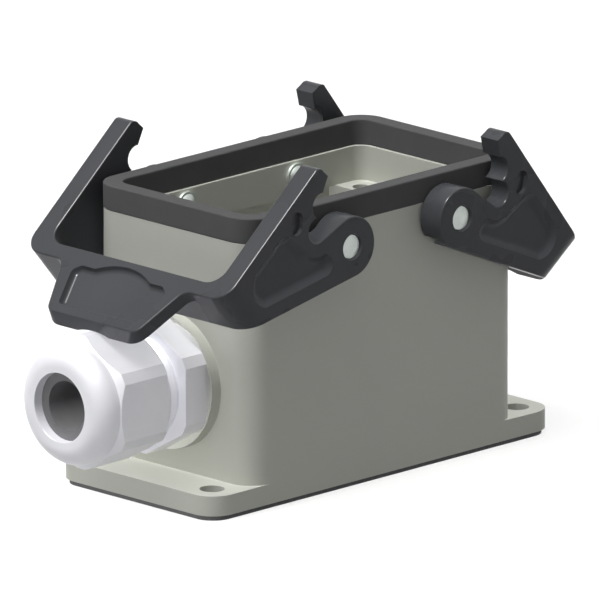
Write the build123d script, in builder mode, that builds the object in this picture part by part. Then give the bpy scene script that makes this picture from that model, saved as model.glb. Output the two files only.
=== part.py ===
from build123d import *
import os
from math import acos, atan2, cos, hypot, radians, sin, sqrt

# Surface-mounted base of a rectangular heavy duty connector: a cast housing with a
# cable entry in one end, two locking levers on rivets, a rim seal and a base gasket.
# Millimetres. Z = 0 is the mounting surface, X runs along the housing, the cable
# gland is at -X. The origin is the centre of the four mounting holes.

os.makedirs("parts", exist_ok=True)

# Mounting flange and base gasket
MOUNT_HOLE_R = 2.4
MOUNT_INSET_END = 5.2
MOUNT_INSET_SIDE = 5.5
FLANGE_REACH = 10.2
FLANGE_T = 4.0
FLANGE_CORNER_R = 5.0
GASKET_T = 1.0
GASKET_INSET = 0.7

# Housing walls
BODY_LENGTH = 73.0
BODY_WIDTH = 43.0
BODY_CORNER_R = 5.2
RIM_Z = 52.8
THROAT_DEPTH = 6.9
WALL = 2.0
CHAMBER_CORNER_R = 3.2
THROAT_WALL_SIDE = 3.75
THROAT_WALL_END = 3.8
THROAT_CORNER_R = 2.7

# Corner lugs for the contact insert's screws
INSERT_INSET = 6.0
INSERT_HOLE_R = 1.7
LUG_LENGTH = 8.8
LUG_WIDTH = 10.2
LUG_HEIGHT = 9.0
LUG_SLOPE = 4.0

# Rim seal, held by a tongue in a groove of the rim
SEAL_HEIGHT = 5.1
SEAL_OVERHANG = 0.2
SEAL_WALL = 3.5
SEAL_CORNER_R = 5.6
SEAL_INNER_R = 3.0
TONGUE_W = 1.2
TONGUE_H = 0.6
TONGUE_GAP = 0.1

# Rivets that carry the levers
PIVOT_INSET = 21.6
PIVOT_DROP = 2.9
SHANK_R = 1.75
RIVET_FIT = 0.03
HEAD_R = 2.3
HEAD_T = 1.5
HEAD_SINK = 0.6
DOME_R = 2.0
DOME_H = 0.9
WASHER_R = 2.45
WASHER_T = 0.5

# Levers, in their own frame: origin on the pivot axis, +X along the straight lower
# edge, +Z square to it. The sloping top face leans by LEVER_SLOPE from that edge.
ARM_GAP = 1.35
ARM_T = 4.6
LEVER_SLOPE = 29.64
LEVER_TOP_HEIGHT = 19.26
LEVER_END_S = 29.0
CROSSBAR_T = 3.2
CROSSBAR_DEPTH = 9.56
LEVER_CORNER_R = 4.2
WINDOW_CORNER_R = 3.5
HUB_R = 6.0
HUB_GAP = 0.55
HUB_L = 4.6
HUB_FLAT = 5.1
HUB_FLAT_W = 3.3
LEVER_FIT = 0.07
HEAD_BORE_FIT = 0.3
LEVER_EDGE_R = 0.3

# Hook outline: crown, nose and the two round notches one below the other
CROWN_START_S = -2.95
CROWN_TOP = (5.5, 18.5)
CROWN_END = (4.5, 17.6)
NOSE = (3.5, 16.3)
UPPER_NOTCH = (6.1, 11.0)
UPPER_NOTCH_R = 2.6
UPPER_NOTCH_START_X = 5.5
NOTCH_CUSP_X = 8.0
LOWER_NOTCH = (8.2, 6.7)
LOWER_NOTCH_R = 2.5
LOWER_NOTCH_END_X = 7.75

# Sunk field on each arm's outer face, and the small slot above it
FIELD_DEPTH = 1.2
FIELD_COVE = 2.0
FIELD_LEAN = 45.0
FIELD_LOW_Z = -3.0
FIELD_LEFT_X = 7.5
FIELD_RIGHT_X = 24.1
FIELD_NOSE = (27.1, 0.3)
FIELD_SLANT_HEIGHT = 16.55
FIELD_SLANT_LOW_S = 20.3
FIELD_SLANT_HIGH_S = 12.6
FIELD_CREST = (17.2, 8.75)
FIELD_SHOULDER = (15.15, 7.9)
FIELD_WAIST = (12.6, 4.4)
FIELD_SWEEP = (10.9, 2.3)
FIELD_NECK = (8.15, 1.5)
FIELD_TAIL = (5.6, -0.7)
SLOT_CENTRE = (13.3, 10.1)
SLOT_LENGTH = 4.6
SLOT_WIDTH = 3.0
SLOT_TILT = 102.0
SLOT_DEPTH = 1.0

# Pull tab: a thin plate that carries on the sloping face, with a sunk panel
TAB_END_S = 40.35
TAB_END_HALF = 12.1
TAB_FLARE = 0.39
TAB_T = 2.8
TAB_ROOT_S = 27.6
TAB_CORNER_R = 2.0
TAB_FOOT_CORNER_R = 4.0
TAB_SHOULDER_R = 2.5
PANEL_DEPTH = 1.1
PANEL_LEAN = 25.0
PANEL_COVE = 0.9
PANEL_END_S = 38.5
PANEL_END_HALF = 10.4
PANEL_SIDE = (30.6, 12.7)
PANEL_EAR = (29.2, 11.0)
PANEL_CUSP = (29.2, 7.4)
PANEL_ARCH_S = 27.2
PANEL_CORNER_R = 1.2

# How far each lever hangs below level, as the base is shown
GLAND_LEVER_DROP = 10.8
FAR_LEVER_DROP = 23.0

# Cable entry boss and gland
GLAND_Z = 22.8
BOSS_R = 13.45
BOSS_H = 2.5
BOSS_LIP = 0.15
SEAT_DEPTH = 2.1
SEAT_R = 11.4
INNER_BOSS_H = 3.5
THREAD_R = 10.0
THREAD_FIT = 0.05
THREAD_L = 9.0
THREAD_CHAMFER = 0.6
GLAND_AF = 24.0
GLAND_TURNED_R = 13.25
SHOULDER_R = 11.3
BODY_HEX_L = 5.55
COLLAR_R = 10.2
COLLAR_L = 0.65
NECK_R = 8.9
NECK_L = 12.5
GLAND_BORE_R = 6.4
NECK_WALL = 1.3
CAP_GAP = 3.8
CAP_SKIRT_L = 1.1
CAP_SKIRT_R = 11.95
CAP_HEX_L = 12.4
CAP_CHAMFER = 1.1
DOME_SIDE_R = 11.85
DOME_STRAIGHT = 1.0
DOME_ROUND = 3.75
CAP_MOUTH_R = 6.85
CAP_LIP_L = 3.3
CAP_CONE_L = 4.5
RING_W = 0.9
RING_GAP = 0.05
INSERT_BORE_R = 4.9
INSERT_SINK = 2.0
INSERT_HEAD_L = 3.2
CAGE_T = 1.3
CAGE_FIT = 0.05
CAGE_SLOTS = 8
CAGE_SLOT_W = 1.0
CAGE_BASE_L = 3.0
CLAMP_TRAVEL = 2.4
LEVER_TO_GLAND = 0.25

# Places worked out from the sizes above
HALF_BODY_L = BODY_LENGTH / 2
HALF_BODY_W = BODY_WIDTH / 2
FLANGE_LENGTH = BODY_LENGTH + 2 * FLANGE_REACH
MOUNT_PITCH_X = FLANGE_LENGTH - 2 * MOUNT_INSET_END
MOUNT_PITCH_Y = BODY_WIDTH - 2 * MOUNT_INSET_SIDE
SHELF_Z = RIM_Z - THROAT_DEPTH
PIVOT_X = HALF_BODY_L - PIVOT_INSET
PIVOT_Z = RIM_Z - PIVOT_DROP
LEVER_HALF_WIDTH = HALF_BODY_W + ARM_GAP + ARM_T
CHAMBER_L = BODY_LENGTH - 2 * WALL
CHAMBER_W = BODY_WIDTH - 2 * WALL
INSERT_PITCH_X = CHAMBER_L - 2 * INSERT_INSET
INSERT_PITCH_Y = CHAMBER_W - 2 * INSERT_INSET
THROAT_L = BODY_LENGTH - 2 * THROAT_WALL_END
THROAT_W = BODY_WIDTH - 2 * THROAT_WALL_SIDE
SEAL_L = BODY_LENGTH + 2 * SEAL_OVERHANG
SEAL_W = BODY_WIDTH + 2 * SEAL_OVERHANG
SLOPE_COS = cos(radians(LEVER_SLOPE))
SLOPE_SIN = sin(radians(LEVER_SLOPE))
DOWN_SLOPE = Axis((0, 0, 0), (SLOPE_COS, 0, -SLOPE_SIN))
SQUARE_TO_SLOPE = Axis((0, 0, 0), (SLOPE_SIN, 0, SLOPE_COS))


def ring_sketch(length, width, corner_r, wall, inner_r):
    """A rectangular frame drawn in the current sketch."""
    RectangleRounded(length, width, corner_r)
    RectangleRounded(length - 2 * wall, width - 2 * wall, inner_r, mode=Mode.SUBTRACT)


# Base gasket
with BuildPart() as base_gasket:
    with BuildSketch(Plane.XY):
        RectangleRounded(
            FLANGE_LENGTH - 2 * GASKET_INSET,
            BODY_WIDTH - 2 * GASKET_INSET,
            FLANGE_CORNER_R - GASKET_INSET,
        )
        RectangleRounded(CHAMBER_L, CHAMBER_W, CHAMBER_CORNER_R, mode=Mode.SUBTRACT)
        with GridLocations(MOUNT_PITCH_X, MOUNT_PITCH_Y, 2, 2):
            Circle(MOUNT_HOLE_R, mode=Mode.SUBTRACT)
    extrude(amount=GASKET_T)
base_gasket.part.label = "base_gasket"

# Housing
TONGUE_L = BODY_LENGTH - THROAT_WALL_END
TONGUE_WIDTH = BODY_WIDTH - THROAT_WALL_SIDE
GROOVE_W = TONGUE_W + 2 * TONGUE_GAP
BOSS_X = -HALF_BODY_L - BOSS_H
SEAT_X = BOSS_X + SEAT_DEPTH
GLAND_AXIS = Axis((0, 0, GLAND_Z), (1, 0, 0))


def gland_profile_plane():
    """Upright plane through the gland axis: x along the axis, y out from it."""
    return Plane(origin=(0, 0, GLAND_Z), x_dir=(1, 0, 0), z_dir=(0, -1, 0))


def gland_cross_plane(x):
    """Plane square to the gland axis at x, seen from the cable end."""
    return Plane(origin=(x, 0, GLAND_Z), x_dir=(0, -1, 0), z_dir=(-1, 0, 0))


with BuildPart() as housing:
    with BuildSketch(Plane.XY.offset(GASKET_T)):
        RectangleRounded(FLANGE_LENGTH, BODY_WIDTH, FLANGE_CORNER_R)
    extrude(amount=FLANGE_T)
    with BuildSketch(Plane.XY.offset(GASKET_T)):
        RectangleRounded(BODY_LENGTH, BODY_WIDTH, BODY_CORNER_R)
    extrude(amount=RIM_Z - GASKET_T)
    # Wide chamber below the shelf, narrower throat above it
    with BuildSketch(Plane.XY.offset(GASKET_T)):
        RectangleRounded(CHAMBER_L, CHAMBER_W, CHAMBER_CORNER_R)
    extrude(amount=SHELF_Z - GASKET_T, mode=Mode.SUBTRACT)
    with BuildSketch(Plane.XY.offset(SHELF_Z)):
        RectangleRounded(THROAT_L, THROAT_W, THROAT_CORNER_R)
    extrude(amount=RIM_Z - SHELF_Z, mode=Mode.SUBTRACT)
    # Corner lugs under the shelf, sloping back to the end walls below
    for end in (-1, 1):
        for side in (-1, 1):
            lug_side = side * (CHAMBER_W / 2 - LUG_WIDTH)
            with BuildSketch(Plane.XZ.offset(-lug_side)):
                with BuildLine():
                    Polyline(
                        (end * CHAMBER_L / 2, SHELF_Z),
                        (end * (CHAMBER_L / 2 - LUG_LENGTH), SHELF_Z),
                        (end * (CHAMBER_L / 2 - LUG_LENGTH), SHELF_Z - LUG_HEIGHT + LUG_SLOPE),
                        (end * (CHAMBER_L / 2 - LUG_LENGTH + LUG_SLOPE), SHELF_Z - LUG_HEIGHT),
                        (end * CHAMBER_L / 2, SHELF_Z - LUG_HEIGHT),
                        close=True,
                    )
                make_face()
            extrude(amount=-side * LUG_WIDTH)
    with BuildSketch(Plane.XY.offset(SHELF_Z)):
        with GridLocations(INSERT_PITCH_X, INSERT_PITCH_Y, 2, 2):
            Circle(INSERT_HOLE_R)
    extrude(amount=-LUG_HEIGHT, mode=Mode.SUBTRACT)
    # Cable entry: lipped boss outside, flat boss inside, threaded bore through both
    with BuildSketch(gland_profile_plane()):
        Polygon(
            (BOSS_X, 0),
            (BOSS_X, BOSS_R),
            (-HALF_BODY_L + WALL + INNER_BOSS_H, BOSS_R),
            (-HALF_BODY_L + WALL + INNER_BOSS_H, 0),
            align=None,
        )
    revolve(axis=GLAND_AXIS)
    with BuildSketch(gland_profile_plane()):
        Polygon(
            (BOSS_X, 0),
            (BOSS_X, BOSS_R - BOSS_LIP),
            (SEAT_X, SEAT_R),
            (SEAT_X, THREAD_R + THREAD_FIT),
            (-HALF_BODY_L + WALL + INNER_BOSS_H, THREAD_R + THREAD_FIT),
            (-HALF_BODY_L + WALL + INNER_BOSS_H, 0),
            align=None,
        )
    revolve(axis=GLAND_AXIS, mode=Mode.SUBTRACT)
    # Groove for the seal's tongue
    with BuildSketch(Plane.XY.offset(RIM_Z)):
        ring_sketch(
            TONGUE_L + GROOVE_W,
            TONGUE_WIDTH + GROOVE_W,
            THROAT_CORNER_R + THROAT_WALL_SIDE / 2 + GROOVE_W / 2,
            GROOVE_W,
            THROAT_CORNER_R + THROAT_WALL_SIDE / 2 - GROOVE_W / 2,
        )
    extrude(amount=-TONGUE_H - TONGUE_GAP, mode=Mode.SUBTRACT)
    # Rivet bores through both long walls
    with BuildSketch(Plane.XZ):
        with Locations((-PIVOT_X, PIVOT_Z), (PIVOT_X, PIVOT_Z)):
            Circle(SHANK_R + RIVET_FIT)
    extrude(amount=BODY_WIDTH, both=True, mode=Mode.SUBTRACT)
    # Mounting holes
    with BuildSketch(Plane.XY.offset(GASKET_T)):
        with GridLocations(MOUNT_PITCH_X, MOUNT_PITCH_Y, 2, 2):
            Circle(MOUNT_HOLE_R)
    extrude(amount=FLANGE_T, mode=Mode.SUBTRACT)
housing.part.label = "housing"

# Rim seal
with BuildPart() as rim_seal:
    with BuildSketch(Plane.XY.offset(RIM_Z)):
        ring_sketch(SEAL_L, SEAL_W, SEAL_CORNER_R, SEAL_WALL, SEAL_INNER_R)
    extrude(amount=SEAL_HEIGHT)
    with BuildSketch(Plane.XY.offset(RIM_Z)):
        ring_sketch(
            TONGUE_L + TONGUE_W,
            TONGUE_WIDTH + TONGUE_W,
            THROAT_CORNER_R + THROAT_WALL_SIDE / 2 + TONGUE_W / 2,
            TONGUE_W,
            THROAT_CORNER_R + THROAT_WALL_SIDE / 2 - TONGUE_W / 2,
        )
    extrude(amount=-TONGUE_H)
rim_seal.part.label = "rim_seal"

# Lever blank, shared by both levers
HUB_INNER_Y = HALF_BODY_W + HUB_GAP
HEAD_SEAT_Y = LEVER_HALF_WIDTH - HEAD_SINK - HEAD_T
CROSSBAR_S = LEVER_END_S - CROSSBAR_T
LOWER_EDGE_N = (LEVER_END_S * SLOPE_SIN - HUB_R) / SLOPE_COS


def on_slope(s, n):
    """Lever-frame x, z of a point s along the sloping face's direction, n square to it."""
    return (s * SLOPE_COS + n * SLOPE_SIN, n * SLOPE_COS - s * SLOPE_SIN)


def circle_z(centre, radius, x, sign):
    """Height of a circle's upper (+1) or lower (-1) half at x."""
    return centre[1] + sign * sqrt(radius ** 2 - (x - centre[0]) ** 2)


def lever_side_plane(y=0.0):
    """Upright plane along the lever: local x, y are the lever's x, z."""
    return Plane(origin=(0, y, 0), x_dir=(1, 0, 0), z_dir=(0, -1, 0))


def slope_plane(lower=0.0):
    """Plane of the sloping face, or lower along Z: local x runs down the slope, y is Y."""
    x, z = on_slope(0, LEVER_TOP_HEIGHT)
    return Plane(
        origin=(x, 0, z - lower),
        x_dir=(SLOPE_COS, 0, -SLOPE_SIN),
        z_dir=(SLOPE_SIN, 0, SLOPE_COS),
    )


def lever_outline():
    """Closed side outline of the lever with hub, valley, notches and hook."""
    end_low = on_slope(LEVER_END_S, LOWER_EDGE_N)
    end_high = on_slope(LEVER_END_S, LEVER_TOP_HEIGHT)
    crown_start = on_slope(CROWN_START_S, LEVER_TOP_HEIGHT)
    upper_start = (UPPER_NOTCH_START_X, circle_z(UPPER_NOTCH, UPPER_NOTCH_R, UPPER_NOTCH_START_X, 1))
    cusp = (NOTCH_CUSP_X, circle_z(UPPER_NOTCH, UPPER_NOTCH_R, NOTCH_CUSP_X, -1))
    lower_end = (LOWER_NOTCH_END_X, circle_z(LOWER_NOTCH, LOWER_NOTCH_R, LOWER_NOTCH_END_X, -1))
    reach = hypot(*lower_end)
    tangent_at = atan2(lower_end[1], lower_end[0]) + acos(HUB_R / reach)
    hub_top = (HUB_R * cos(tangent_at), HUB_R * sin(tangent_at))
    Line(end_low, end_high)
    Line(end_high, crown_start)
    ThreePointArc(crown_start, CROWN_TOP, CROWN_END)
    Line(CROWN_END, NOSE)
    Line(NOSE, upper_start)
    ThreePointArc(upper_start, (UPPER_NOTCH[0] + UPPER_NOTCH_R, UPPER_NOTCH[1]), cusp)
    ThreePointArc(cusp, (LOWER_NOTCH[0] + LOWER_NOTCH_R, LOWER_NOTCH[1]), lower_end)
    Line(lower_end, hub_top)
    ThreePointArc(hub_top, (-HUB_R, 0), (0, -HUB_R))
    Line((0, -HUB_R), end_low)


def field_outline():
    """Closed outline of the sunk field on an arm."""
    slant_low = on_slope(FIELD_SLANT_LOW_S, FIELD_SLANT_HEIGHT)
    slant_high = on_slope(FIELD_SLANT_HIGH_S, FIELD_SLANT_HEIGHT)
    Line((FIELD_LEFT_X, FIELD_LOW_Z), (FIELD_RIGHT_X, FIELD_LOW_Z))
    ThreePointArc((FIELD_RIGHT_X, FIELD_LOW_Z), FIELD_NOSE, slant_low)
    Line(slant_low, slant_high)
    ThreePointArc(slant_high, FIELD_CREST, FIELD_SHOULDER)
    Line(FIELD_SHOULDER, FIELD_WAIST)
    ThreePointArc(FIELD_WAIST, FIELD_SWEEP, FIELD_NECK)
    ThreePointArc(FIELD_NECK, FIELD_TAIL, (FIELD_LEFT_X, FIELD_LOW_Z))


LEVER_BACK_S = -3 * HUB_R


def lever_place(end, drop):
    """Location of a lever at end -1 (gland) or +1 (far), hanging by drop degrees."""
    turn = 0 if end > 0 else 180
    return Location((end * PIVOT_X, 0, PIVOT_Z), (0, 0, turn)) * Location((0, 0, 0), (0, drop, 0))


def tab_outline(corner_r):
    """Closed outline of the pull tab, seen square to the slope."""
    root_half = TAB_END_HALF + TAB_FLARE * (TAB_END_S - TAB_ROOT_S)
    FilletPolyline(
        (TAB_ROOT_S, -root_half),
        (TAB_END_S, -TAB_END_HALF),
        (TAB_END_S, TAB_END_HALF),
        (TAB_ROOT_S, root_half),
        radius=corner_r,
    )
    Line((TAB_ROOT_S, root_half), (TAB_ROOT_S, -root_half))


with BuildPart() as lever:
    with BuildSketch(lever_side_plane()):
        with BuildLine():
            lever_outline()
        make_face()
    extrude(amount=LEVER_HALF_WIDTH, both=True)
    # Round corners of the U, seen square to the slope
    with BuildSketch(slope_plane()):
        with BuildLine():
            FilletPolyline(
                (LEVER_BACK_S, -LEVER_HALF_WIDTH),
                (LEVER_END_S, -LEVER_HALF_WIDTH),
                (LEVER_END_S, LEVER_HALF_WIDTH),
                (LEVER_BACK_S, LEVER_HALF_WIDTH),
                radius=LEVER_CORNER_R,
            )
            Line((LEVER_BACK_S, LEVER_HALF_WIDTH), (LEVER_BACK_S, -LEVER_HALF_WIDTH))
        make_face()
    extrude(amount=-2 * LEVER_TOP_HEIGHT, mode=Mode.INTERSECT)
    # Pull tab: its top lies in the slope, its walls stand square to the lower edge
    with BuildSketch(slope_plane()):
        with BuildLine():
            tab_outline(TAB_CORNER_R)
        make_face()
    with BuildSketch(slope_plane(TAB_T)):
        with BuildLine():
            tab_outline(TAB_FOOT_CORNER_R)
        make_face()
    loft(ruled=True)
    # Shoulders, where the tab's side walls run out into the end face
    end_faces = lever.faces().filter_by(DOWN_SLOPE)
    fillet(end_faces.edges().filter_by(GeomType.BSPLINE), radius=TAB_SHOULDER_R)
    # Rounded outer edges, without the seams where the corners of the U begin
    outline_edges = lever.faces().filter_by(Plane.XZ).edges()
    fillet(outline_edges.filter_by(SQUARE_TO_SLOPE, reverse=True), radius=LEVER_EDGE_R)
    # Window between the arms, open towards the hubs
    half_window = LEVER_HALF_WIDTH - ARM_T
    with BuildSketch(slope_plane()):
        with BuildLine():
            FilletPolyline(
                (LEVER_BACK_S, -half_window),
                (CROSSBAR_S, -half_window),
                (CROSSBAR_S, half_window),
                (LEVER_BACK_S, half_window),
                radius=WINDOW_CORNER_R,
            )
            Line((LEVER_BACK_S, half_window), (LEVER_BACK_S, -half_window))
        make_face()
    extrude(amount=-2 * LEVER_TOP_HEIGHT, mode=Mode.SUBTRACT)
    top_face = lever.faces().filter_by(slope_plane()).sort_by(SQUARE_TO_SLOPE)[-1]
    window_edge = top_face.edges().filter_by(Axis.Y).sort_by(Axis.X)[2]
    fillet(window_edge, radius=LEVER_EDGE_R)
    # Space below the crossbar
    low_inner = on_slope(CROSSBAR_S - WINDOW_CORNER_R, LEVER_TOP_HEIGHT - CROSSBAR_DEPTH)
    low_outer = on_slope(LEVER_END_S + CROSSBAR_T, LEVER_TOP_HEIGHT - CROSSBAR_DEPTH)
    with BuildSketch(lever_side_plane()):
        Polygon(
            low_inner,
            low_outer,
            (low_outer[0], -2 * HUB_R),
            (low_inner[0], -2 * HUB_R),
            align=None,
        )
    extrude(amount=half_window, both=True, mode=Mode.SUBTRACT)
    # Hubs reach in towards the housing walls, with a stop flat on their lower side
    for side in (-1, 1):
        with BuildSketch(lever_side_plane(side * HUB_INNER_Y)):
            Circle(HUB_R)
        extrude(amount=-side * HUB_L)
        with BuildSketch(lever_side_plane(side * HUB_INNER_Y)):
            with Locations((-HUB_R, -HUB_FLAT)):
                Rectangle(HUB_R, HUB_R, align=(Align.MIN, Align.MAX))
        extrude(amount=-side * HUB_FLAT_W, mode=Mode.SUBTRACT)
        # Bore for the rivet and the counterbore that hides its head
        with BuildSketch(lever_side_plane(side * HUB_INNER_Y)):
            Circle(SHANK_R + LEVER_FIT)
        extrude(amount=-side * LEVER_HALF_WIDTH, mode=Mode.SUBTRACT)
        with BuildSketch(lever_side_plane(side * HEAD_SEAT_Y)):
            Circle(HEAD_R + HEAD_BORE_FIT)
        extrude(amount=-side * LEVER_HALF_WIDTH, mode=Mode.SUBTRACT)
    # Sunk field with sloping, coved walls, and the slot above it
    for side in (-1, 1):
        with BuildSketch(lever_side_plane(side * LEVER_HALF_WIDTH)):
            with BuildLine():
                field_outline()
            make_face()
        extrude(amount=side * FIELD_DEPTH, taper=FIELD_LEAN, mode=Mode.SUBTRACT)
        floors = lever.faces().filter_by(Plane.XZ).group_by(Axis.Y)
        floor = floors[1] if side < 0 else floors[-2]
        fillet(floor.edges(), radius=FIELD_COVE)
        with BuildSketch(lever_side_plane(side * LEVER_HALF_WIDTH)):
            with Locations(SLOT_CENTRE):
                SlotOverall(SLOT_LENGTH, SLOT_WIDTH, rotation=SLOT_TILT)
        extrude(amount=side * SLOT_DEPTH, mode=Mode.SUBTRACT)
    # Sunk panel with an arched upper edge and coved walls
    with BuildSketch(slope_plane()) as panel:
        with BuildLine():
            Polyline(
                PANEL_CUSP,
                PANEL_EAR,
                PANEL_SIDE,
                (PANEL_END_S, PANEL_END_HALF),
                (PANEL_END_S, -PANEL_END_HALF),
                (PANEL_SIDE[0], -PANEL_SIDE[1]),
                (PANEL_EAR[0], -PANEL_EAR[1]),
                (PANEL_CUSP[0], -PANEL_CUSP[1]),
            )
            ThreePointArc((PANEL_CUSP[0], -PANEL_CUSP[1]), (PANEL_ARCH_S, 0), PANEL_CUSP)
        make_face()
        fillet(panel.vertices(), radius=PANEL_CORNER_R)
    extrude(amount=-PANEL_DEPTH, taper=PANEL_LEAN, mode=Mode.SUBTRACT)
    panel_floor = lever.faces().filter_by(slope_plane()).sort_by(SQUARE_TO_SLOPE)[-2]
    fillet(panel_floor.edges(), radius=PANEL_COVE)
    # Hollow under the tab's end, shaped to lie over the gland's turned corners
    hollow = lever_place(-1, GLAND_LEVER_DROP).inverse() * gland_cross_plane(BOSS_X).location
    with BuildSketch(Plane(hollow)):
        Circle(GLAND_TURNED_R + LEVER_TO_GLAND)
    extrude(amount=BODY_LENGTH, mode=Mode.SUBTRACT)

with BuildPart() as far_side_lever:
    with Locations(lever_place(1, FAR_LEVER_DROP)):
        add(lever.part)
far_side_lever.part.label = "far_side_lever"

with BuildPart() as gland_side_lever:
    with Locations(lever_place(-1, GLAND_LEVER_DROP)):
        add(lever.part)
gland_side_lever.part.label = "gland_side_lever"

# Rivets and their inner washers, one at each hub
THROAT_Y = THROAT_W / 2
DOME_BALL_R = (DOME_R ** 2 + DOME_H ** 2) / (2 * DOME_H)
pivot_sites = {
    "gland_near": (-1, -1),
    "gland_far": (-1, 1),
    "end_near": (1, -1),
    "end_far": (1, 1),
}
rivets = []
washers = []
for site, (end, side) in pivot_sites.items():
    pivot = (end * PIVOT_X, 0, PIVOT_Z)
    section = Plane(origin=pivot, x_dir=(1, 0, 0), z_dir=(0, 0, side))
    pivot_axis = Axis(pivot, (0, side, 0))
    dome_foot = THROAT_Y - WASHER_T
    head_top = HEAD_SEAT_Y + HEAD_T
    with BuildPart() as rivet:
        with BuildSketch(section):
            with BuildLine():
                Polyline(
                    (0, dome_foot - DOME_H),
                    (0, head_top),
                    (HEAD_R, head_top),
                    (HEAD_R, HEAD_SEAT_Y),
                    (SHANK_R, HEAD_SEAT_Y),
                    (SHANK_R, dome_foot),
                    (DOME_R, dome_foot),
                )
                RadiusArc((DOME_R, dome_foot), (0, dome_foot - DOME_H), DOME_BALL_R)
            make_face()
        revolve(axis=pivot_axis)
    rivet.part.label = f"rivet_{site}"
    rivets.append(rivet.part)
    with BuildPart() as washer:
        with BuildSketch(section):
            with Locations((SHANK_R + RIVET_FIT, dome_foot)):
                Rectangle(WASHER_R - SHANK_R - RIVET_FIT, WASHER_T, align=(Align.MIN, Align.MIN))
        revolve(axis=pivot_axis)
    washer.part.label = f"washer_{site}"
    washers.append(washer.part)

# Cable gland
HEX_BACK_X = BOSS_X
HEX_FRONT_X = HEX_BACK_X - BODY_HEX_L
COLLAR_X = HEX_FRONT_X - COLLAR_L
NECK_END_X = HEX_FRONT_X - NECK_L
CAP_BACK_X = HEX_FRONT_X - CAP_GAP
CAP_HEX_BACK_X = CAP_BACK_X - CAP_SKIRT_L
CAP_HEX_FRONT_X = CAP_HEX_BACK_X - CAP_HEX_L
DOME_START_X = CAP_HEX_FRONT_X - DOME_STRAIGHT
CAP_FRONT_X = DOME_START_X - DOME_ROUND
NECK_BORE_R = NECK_R - NECK_WALL
INSERT_FRONT_X = CAP_FRONT_X + INSERT_SINK
CAGE_BACK_X = COLLAR_X + CLAMP_TRAVEL - COLLAR_L
THREAD_END_X = SEAT_X + THREAD_L
RING_BORE_R = THREAD_R + RING_GAP
RING_OUTER_R = RING_BORE_R + RING_W
CAGE_FRONT_X = INSERT_FRONT_X + INSERT_HEAD_L
CAGE_R = NECK_BORE_R - CAGE_FIT


def hexagon_with_turned_corners():
    """The gland's spanner hexagon, flats to the sides, corners turned round."""
    RegularPolygon(GLAND_AF / 2, 6, major_radius=False, rotation=30)
    Circle(GLAND_TURNED_R, mode=Mode.INTERSECT)


with BuildPart() as gland_body:
    with BuildSketch(gland_cross_plane(HEX_BACK_X)):
        hexagon_with_turned_corners()
    extrude(amount=BODY_HEX_L)
    with BuildSketch(gland_profile_plane()):
        Polygon(
            (THREAD_END_X, 0),
            (THREAD_END_X, THREAD_R - THREAD_CHAMFER),
            (THREAD_END_X - THREAD_CHAMFER, THREAD_R),
            (SEAT_X, THREAD_R),
            (SEAT_X, SHOULDER_R),
            (HEX_BACK_X, GLAND_AF / 2),
            (HEX_FRONT_X, COLLAR_R),
            (COLLAR_X, COLLAR_R),
            (COLLAR_X - COLLAR_R + NECK_R, NECK_R),
            (NECK_END_X, NECK_R),
            (NECK_END_X, 0),
            align=None,
        )
    revolve(axis=GLAND_AXIS)
    # Cable bore, wider in the neck where the clamping cage sits
    with BuildSketch(gland_profile_plane()):
        Polygon(
            (THREAD_END_X, 0),
            (THREAD_END_X, GLAND_BORE_R),
            (CAGE_BACK_X + CLAMP_TRAVEL, GLAND_BORE_R),
            (CAGE_BACK_X + CLAMP_TRAVEL, NECK_BORE_R),
            (NECK_END_X, NECK_BORE_R),
            (NECK_END_X, 0),
            align=None,
        )
    revolve(axis=GLAND_AXIS, mode=Mode.SUBTRACT)
    # Groove for the sealing ring in the face that meets the housing
    with BuildSketch(gland_profile_plane()):
        Polygon(
            (SEAT_X, THREAD_R),
            (SEAT_X, RING_OUTER_R + RING_GAP),
            (SEAT_X - RING_W, RING_OUTER_R + RING_GAP),
            (SEAT_X - RING_W, THREAD_R),
            align=None,
        )
    revolve(axis=GLAND_AXIS, mode=Mode.SUBTRACT)
gland_body.part.label = "gland_body"

with BuildPart() as gland_ring:
    with BuildSketch(gland_cross_plane(SEAT_X)):
        Circle(RING_OUTER_R)
        Circle(RING_BORE_R, mode=Mode.SUBTRACT)
    extrude(amount=RING_W)
gland_ring.part.label = "gland_ring"

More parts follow.
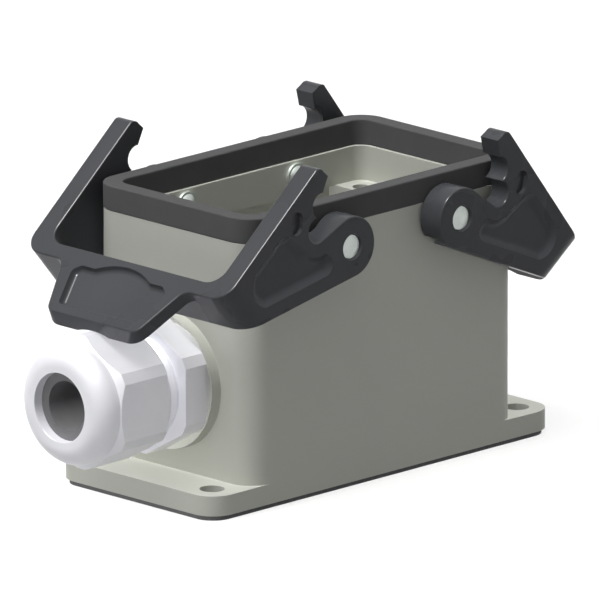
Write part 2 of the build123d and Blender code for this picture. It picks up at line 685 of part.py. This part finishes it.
with BuildPart() as gland_cap:
    with BuildSketch(gland_profile_plane()):
        with BuildLine():
            Polyline(
                (CAP_FRONT_X, 0),
                (CAP_BACK_X, 0),
                (CAP_BACK_X, CAP_SKIRT_R),
                (CAP_HEX_BACK_X, CAP_SKIRT_R),
                (CAP_HEX_BACK_X, GLAND_TURNED_R),
                (CAP_HEX_FRONT_X + CAP_CHAMFER, GLAND_TURNED_R),
                (CAP_HEX_FRONT_X, DOME_SIDE_R),
                (DOME_START_X, DOME_SIDE_R),
            )
            RadiusArc(
                (DOME_START_X, DOME_SIDE_R),
                (CAP_FRONT_X, DOME_SIDE_R - DOME_ROUND),
                -DOME_ROUND,
            )
            Line((CAP_FRONT_X, DOME_SIDE_R - DOME_ROUND), (CAP_FRONT_X, 0))
        make_face()
    revolve(axis=GLAND_AXIS)
    # Spanner flats
    with BuildSketch(gland_cross_plane(CAP_HEX_BACK_X)):
        Circle(GLAND_TURNED_R + WALL)
        RegularPolygon(GLAND_AF / 2, 6, major_radius=False, rotation=30, mode=Mode.SUBTRACT)
    extrude(amount=CAP_HEX_L, mode=Mode.SUBTRACT)
    # Mouth, clamping cone and threaded bore
    with BuildSketch(gland_profile_plane()):
        Polygon(
            (CAP_FRONT_X, 0),
            (CAP_FRONT_X, CAP_MOUTH_R),
            (CAP_FRONT_X + CAP_LIP_L, CAP_MOUTH_R),
            (CAP_FRONT_X + CAP_LIP_L + CAP_CONE_L, NECK_R + THREAD_FIT),
            (CAP_BACK_X, NECK_R + THREAD_FIT),
            (CAP_BACK_X, 0),
            align=None,
        )
    revolve(axis=GLAND_AXIS, mode=Mode.SUBTRACT)
gland_cap.part.label = "gland_cap"

# Rubber sealing insert: a sleeve with a thicker head behind the cap's mouth
INSERT_SLEEVE_R = CAGE_R - CAGE_T - CAGE_FIT
with BuildPart() as gland_insert:
    with BuildSketch(gland_profile_plane()):
        Polygon(
            (INSERT_FRONT_X, INSERT_BORE_R),
            (INSERT_FRONT_X, CAP_MOUTH_R - CAGE_FIT),
            (CAGE_FRONT_X, CAP_MOUTH_R - CAGE_FIT),
            (CAGE_FRONT_X, INSERT_SLEEVE_R),
            (CAGE_BACK_X, INSERT_SLEEVE_R),
            (CAGE_BACK_X, INSERT_BORE_R),
            align=None,
        )
    revolve(axis=GLAND_AXIS)
gland_insert.part.label = "gland_insert"

# Clamping cage: a ring whose fingers close on the insert
with BuildPart() as gland_cage:
    with BuildSketch(gland_profile_plane()):
        Polygon(
            (CAGE_FRONT_X, CAGE_R - CAGE_T),
            (CAGE_FRONT_X, CAGE_R - CAGE_T / 2),
            (CAGE_FRONT_X + CAGE_T, CAGE_R),
            (CAGE_BACK_X, CAGE_R),
            (CAGE_BACK_X, CAGE_R - CAGE_T),
            align=None,
        )
    revolve(axis=GLAND_AXIS)
    with BuildSketch(gland_cross_plane(CAGE_BACK_X - CAGE_BASE_L)):
        with PolarLocations(CAGE_R, CAGE_SLOTS):
            Rectangle(4 * CAGE_T, CAGE_SLOT_W)
    extrude(amount=CAGE_BACK_X - CAGE_FRONT_X, mode=Mode.SUBTRACT)
gland_cage.part.label = "gland_cage"

for piece in (
    housing.part,
    base_gasket.part,
    rim_seal.part,
    gland_side_lever.part,
    far_side_lever.part,
    gland_body.part,
    gland_cap.part,
    gland_insert.part,
    gland_cage.part,
    gland_ring.part,
    *rivets,
    *washers,
):
    export_step(piece, f"parts/{piece.label}.step")
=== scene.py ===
"""Heavy duty connector base: the finish of each piece, with floor, light and camera."""
import math

import bpy
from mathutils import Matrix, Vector


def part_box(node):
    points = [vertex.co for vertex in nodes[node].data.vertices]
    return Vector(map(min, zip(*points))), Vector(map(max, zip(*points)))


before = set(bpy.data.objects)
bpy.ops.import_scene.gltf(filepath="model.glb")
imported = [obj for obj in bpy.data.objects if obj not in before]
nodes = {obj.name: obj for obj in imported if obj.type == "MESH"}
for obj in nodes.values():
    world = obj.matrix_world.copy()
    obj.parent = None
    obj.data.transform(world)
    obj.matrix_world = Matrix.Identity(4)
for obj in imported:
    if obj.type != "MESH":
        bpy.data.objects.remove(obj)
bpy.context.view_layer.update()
MM = 0.001


def add_object(name, data):
    """A new object in the scene with that data."""
    made = bpy.data.objects.new(name, data)
    bpy.context.scene.collection.objects.link(made)
    return made


def face(thing, direction):
    """Turns a camera or a lamp, which looks along its own -Z, in that direction."""
    thing.rotation_mode = "QUATERNION"
    thing.rotation_quaternion = direction.to_track_quat("-Z", "Y")


# Camera: a lens long enough to stand in for the photograph's parallel view

PHOTO_ELEVATION = math.radians(15.27)
PHOTO_WIDTH = 115.4 * MM
AIM = Vector((-0.85, 0.85, 31.28)) * MM
LENS = 1600.0
SENSOR = 36.0
CLIP_START = 0.1


def add_camera():
    """The photograph's camera, halfway round from the gland end to the near side."""
    reach = PHOTO_WIDTH * LENS / SENSOR
    data = bpy.data.cameras.new("camera")
    data.lens = LENS
    data.sensor_width = SENSOR
    data.clip_start = CLIP_START
    data.clip_end = 2 * reach
    flat = math.cos(PHOTO_ELEVATION) * math.sqrt(0.5)
    back = Vector((-flat, -flat, math.sin(PHOTO_ELEVATION)))
    camera = add_object("camera", data)
    camera.location = AIM + back * reach
    face(camera, -back)
    bpy.context.scene.camera = camera


# Shader kit

class Value:
    """A shader socket that can be used in Python arithmetic."""

    def __init__(self, finish, socket):
        self.finish = finish
        self.socket = socket

    def math(self, operation, other):
        sockets = {0: self, 1: other}
        return self.finish.node("ShaderNodeMath", "Value", {"operation": operation}, sockets)

    def __add__(self, other):
        return self.math("ADD", other)

    __radd__ = __add__

    def __mul__(self, other):
        return self.math("MULTIPLY", other)


class Finish:
    """The node tree of one material, or of the world."""

    def __init__(self, owner):
        owner.use_nodes = True
        self.owner = owner
        self.tree = owner.node_tree
        self.tree.nodes.clear()

    def node(self, kind, output, settings=None, sockets=None):
        """Adds a node, sets its settings first and its sockets after, and gives one output."""
        made = self.tree.nodes.new(kind)
        for name, setting in (settings or {}).items():
            if name == "stops":
                self.set_stops(made.color_ramp, setting)
            else:
                setattr(made, name, setting)
        for name, value in (sockets or {}).items():
            if isinstance(value, Value):
                self.tree.links.new(value.socket, made.inputs[name])
            else:
                made.inputs[name].default_value = value
        return Value(self, made.outputs[output]) if output else None

    def set_stops(self, ramp, stops):
        """Gives a colour ramp its stops, each a place from 0 to 1 and a colour."""
        while len(ramp.elements) < len(stops):
            ramp.elements.new(1.0)
        for element, (place, colour) in zip(ramp.elements, stops):
            element.position = place
            element.color = (*colour, 1.0)

    def place(self):
        """Position on the piece, in metres, whatever its pose."""
        return self.node("ShaderNodeTexCoord", "Object")

    def vector(self, operation, output, *terms):
        """One step of vector maths."""
        sockets = dict(enumerate(terms))
        return self.node("ShaderNodeVectorMath", output, {"operation": operation}, sockets)

    def radius(self, local, across):
        """Distance from an axis through the zero of local; across is 0 along that axis."""
        return self.vector("LENGTH", "Value", self.vector("MULTIPLY", "Vector", local, across))

    def noise(self, size, detail=2.0, rough=0.5):
        """Cloudy noise from 0 to 1 with features of about that size in metres."""
        sockets = {
            "Vector": self.place(),
            "Scale": 1 / size,
            "Detail": detail,
            "Roughness": rough,
        }
        return self.node("ShaderNodeTexNoise", "Fac", None, sockets)

    def rings(self, distance, size):
        """Noise from 0 to 1 along a distance only, with rings of about that size in metres."""
        sockets = {"W": distance, "Scale": 1 / size, "Detail": 2.0}
        return self.node("ShaderNodeTexNoise", "Fac", {"noise_dimensions": "1D"}, sockets)

    def tint(self, fac, low, high):
        """A colour between low and high."""
        stops = [(0.0, low), (1.0, high)]
        return self.node("ShaderNodeValToRGB", "Color", {"stops": stops}, {"Fac": fac})

    def bump(self, height, depth):
        """Normals of a relief with that depth in metres."""
        sockets = {"Height": height, "Distance": depth, "Strength": 1.0}
        return self.node("ShaderNodeBump", "Normal", None, sockets)

    def surface(self, **sockets):
        """The principled shader and the output; socket names have _ for a space."""
        named = {name.replace("_", " "): value for name, value in sockets.items()}
        shader = self.node("ShaderNodeBsdfPrincipled", "BSDF", None, named)
        self.node("ShaderNodeOutputMaterial", None, None, {"Surface": shader})
        return self.owner


def new_finish(name):
    """An empty finish for a new material."""
    return Finish(bpy.data.materials.new(name))


def grey(level):
    """A neutral colour."""
    return (level, level, level)


# Finishes

GLAND_AXIS = (0, 0, 22.8 * MM)
PLAIN_SHEEN = 0.5


def powder_coat():
    """Light warm grey powder coat with a fine orange-peel skin."""
    f = new_finish("powder_coat")
    cloud = f.noise(9 * MM)
    peel = f.noise(0.9 * MM, detail=3.0, rough=0.6)
    speck = f.noise(0.25 * MM, detail=1.0)
    mottle = cloud * 0.6 + speck * 0.4
    return f.surface(
        Base_Color=f.tint(mottle, (0.455, 0.462, 0.415), (0.495, 0.502, 0.452)),
        Roughness=0.42 + cloud * 0.16,
        Normal=f.bump(peel * 0.8 + speck * 0.2, 0.015 * MM),
        Specular_IOR_Level=0.2,
    )


def moulded_nylon():
    """Satin black moulded plastic with a fine spark-eroded grain."""
    f = new_finish("moulded_nylon")
    flow = f.noise(14 * MM)
    grain = f.noise(0.3 * MM, rough=0.6)
    return f.surface(
        Base_Color=f.tint(flow, (0.048, 0.050, 0.054), (0.058, 0.060, 0.066)),
        Roughness=0.24 + flow * 0.08,
        Normal=f.bump(grain, 0.004 * MM),
        Specular_IOR_Level=0.10,
    )


def seal_rubber():
    """Matt black moulded rubber with a little bloom."""
    f = new_finish("seal_rubber")
    bloom = f.noise(7 * MM, detail=3.0)
    grain = f.noise(0.35 * MM)
    return f.surface(
        Base_Color=f.tint(bloom, (0.080, 0.080, 0.082), (0.096, 0.096, 0.098)),
        Roughness=0.75 + bloom * 0.2,
        Normal=f.bump(grain, 0.010 * MM),
        Specular_IOR_Level=0.03,
    )


def plain_finish(name, colours, cloud_size, grain_size, relief, rough, spread, sheen):
    """Faint clouds between two colours, and a fine grain in the roughness and the relief."""
    f = new_finish(name)
    grain = f.noise(grain_size)
    return f.surface(
        Base_Color=f.tint(f.noise(cloud_size), *colours),
        Roughness=rough + grain * spread,
        Normal=f.bump(grain, relief),
        Specular_IOR_Level=sheen,
    )


def gasket_rubber():
    """Black sheet rubber."""
    return plain_finish(
        "gasket_rubber",
        colours=((0.052, 0.052, 0.054), (0.068, 0.068, 0.070)),
        cloud_size=6 * MM,
        grain_size=0.4 * MM,
        relief=0.02 * MM,
        rough=0.7,
        spread=0.15,
        sheen=PLAIN_SHEEN,
    )


def insert_rubber():
    """Dark grey moulded rubber of the cable gland's insert and sealing ring."""
    return plain_finish(
        "insert_rubber",
        colours=((0.13, 0.13, 0.133), (0.165, 0.165, 0.17)),
        cloud_size=4 * MM,
        grain_size=0.3 * MM,
        relief=0.015 * MM,
        rough=0.6,
        spread=0.2,
        sheen=0.1,
    )


def cage_nylon():
    """Natural off-white nylon of the clamping cage."""
    return plain_finish(
        "cage_nylon",
        colours=((0.50, 0.50, 0.46), (0.58, 0.58, 0.53)),
        cloud_size=3 * MM,
        grain_size=0.3 * MM,
        relief=0.01 * MM,
        rough=0.5,
        spread=0.15,
        sheen=PLAIN_SHEEN,
    )


def satin_nickel():
    """Satin nickel plate with the fine rings that turning leaves round the gland's axis."""
    f = new_finish("satin_nickel")
    local = f.vector("SUBTRACT", "Vector", f.place(), GLAND_AXIS)
    along = f.node("ShaderNodeSeparateXYZ", "X", None, {"Vector": local})
    rings = f.rings(f.radius(local, (0, 1, 1)) + along, 0.12 * MM)
    haze = f.noise(5 * MM)
    return f.surface(
        Base_Color=f.tint(haze, (0.78, 0.78, 0.82), (0.84, 0.84, 0.88)),
        Metallic=0.12,
        Roughness=0.30 + rings * 0.08 + haze * 0.06,
        Normal=f.bump(rings, 0.003 * MM),
        Specular_IOR_Level=0.3,
    )


def turned_steel(name, centre):
    """Stainless steel with fine turning rings round a rivet's own axis."""
    f = new_finish(name)
    local = f.vector("SUBTRACT", "Vector", f.place(), centre)
    rings = f.rings(f.radius(local, (1, 0, 1)), 0.14 * MM)
    return f.surface(
        Base_Color=f.tint(f.noise(1.5 * MM), (0.42, 0.455, 0.43), (0.50, 0.54, 0.51)),
        Metallic=0.7,
        Roughness=0.34 + rings * 0.12,
        Normal=f.bump(rings, 0.004 * MM),
    )


def dress_all():
    """Gives each piece its finish, on every face."""
    nylon = moulded_nylon()
    nickel = satin_nickel()
    dark = insert_rubber()
    finishes = {
        "housing": powder_coat(),
        "gland_side_lever": nylon,
        "far_side_lever": nylon,
        "rim_seal": seal_rubber(),
        "base_gasket": gasket_rubber(),
        "gland_body": nickel,
        "gland_cap": nickel,
        "gland_insert": dark,
        "gland_ring": dark,
        "gland_cage": cage_nylon(),
    }
    for name in nodes:
        if name.startswith("rivet_"):
            low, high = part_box(name)
            steel = turned_steel(name.replace("rivet", "turned_steel"), (low + high) / 2)
            finishes[name] = steel
            finishes[name.replace("rivet", "washer")] = steel
    for name, material in finishes.items():
        for slot in nodes[name].material_slots:
            slot.material = material


# Edges: no real part has knife edges, so these are rounded a little. The levers keep the
# CAD's own edges.

EDGE_ROUND = {
    "housing": 0.22 * MM,
    "rim_seal": 0.3 * MM,
    "gland_body": 0.2 * MM,
    "gland_cap": 0.2 * MM,
}
EDGE_SEGMENTS = 3
SHARP = math.radians(32)
WELD = 0.002 * MM
EVEN_WEIGHT = 50


def round_edges():
    """Welds the facets together, rounds the sharp edges and shades the large faces flat."""
    for name, width in EDGE_ROUND.items():
        piece = nodes[name]
        weld = piece.modifiers.new("weld", "WELD")
        weld.merge_threshold = WELD
        bevel = piece.modifiers.new("edge_round", "BEVEL")
        bevel.width = width
        bevel.segments = EDGE_SEGMENTS
        bevel.limit_method = "ANGLE"
        bevel.angle_limit = SHARP
        even = piece.modifiers.new("even_normals", "WEIGHTED_NORMAL")
        even.mode = "FACE_AREA"
        even.weight = EVEN_WEIGHT
        even.keep_sharp = True


# Floor and light. The floor and the sky are white where they are seen and much darker in
# the light they scatter, which keeps the object's own shades.

KEY_FROM = Vector((-0.37, 0.09, 0.925))
SOFT_KEY = 0.85
SOFT_SPREAD = math.radians(50)
CRISP_KEY = 2.4
CRISP_SPREAD = math.radians(14)
GLINT = 20.0
GLINT_SPREAD = math.radians(3)
FILL_FROM = Vector((-1, 0, 0.1))
END_FILL = 0.28
SKY_SCATTERED = grey(0.31)
SKY_SEEN = grey(1.0)
FLOOR_SCATTERED = grey(0.32)
FLOOR_SEEN = grey(0.95)
FLOOR_HALF = 6.0
FLOOR_DROP = 0.1 * MM


def seen_directly(f):
    """1 for rays from the camera, off a gloss or through glass, 0 for scattered light."""
    camera = f.node("ShaderNodeLightPath", "Is Camera Ray")
    glossy = f.node("ShaderNodeLightPath", "Is Glossy Ray")
    clear = f.node("ShaderNodeLightPath", "Is Transmission Ray")
    return (camera + glossy + clear).math("MINIMUM", 1.0)


def add_floor():
    """A wide floor that shows white and keeps the soft shadow."""
    f = new_finish("pale_floor")
    colour = f.tint(seen_directly(f), FLOOR_SCATTERED, FLOOR_SEEN)
    material = f.surface(Base_Color=colour, Roughness=0.9, Specular_IOR_Level=0.0)
    quarters = [(-1, -1), (1, -1), (1, 1), (-1, 1)]
    corners = [(x * FLOOR_HALF, y * FLOOR_HALF, -FLOOR_DROP) for x, y in quarters]
    mesh = bpy.data.meshes.new("floor")
    mesh.from_pydata(corners, [], [(0, 1, 2, 3)])
    mesh.materials.append(material)
    floor = add_object("floor", mesh)


def add_sun(name, source, strength, spread, shadow):
    """A sun that shines from that direction."""
    data = bpy.data.lights.new(name, "SUN")
    data.energy = strength
    data.angle = spread
    data.use_shadow = shadow
    sun = add_object(name, data)
    face(sun, -source)
    return sun


def add_light():
    """An even sky, a key from above and a weak fill on the gland's end.

    The key is a soft sun with a shadow, a crisp one without, since the photograph has no cast
    shadows, and a narrow one that shows only as highlights on edges.
    """
    add_sun("soft_key", KEY_FROM, SOFT_KEY, SOFT_SPREAD, True)
    add_sun("crisp_key", KEY_FROM, CRISP_KEY, CRISP_SPREAD, False)
    add_sun("end_fill", FILL_FROM, END_FILL, SOFT_SPREAD, False)
    glint = add_sun("glint", KEY_FROM, GLINT, GLINT_SPREAD, False)
    glint.visible_diffuse = False
    world = bpy.data.worlds.new("studio")
    bpy.context.scene.world = world
    f = Finish(world)
    colour = f.tint(seen_directly(f), SKY_SCATTERED, SKY_SEEN)
    sky = f.node("ShaderNodeBackground", "Background", None, {"Color": colour, "Strength": 1.0})
    f.node("ShaderNodeOutputWorld", None, None, {"Surface": sky})


dress_all()
round_edges()
add_floor()
add_light()
add_camera()
bpy.context.scene.view_settings.view_transform = "Standard"
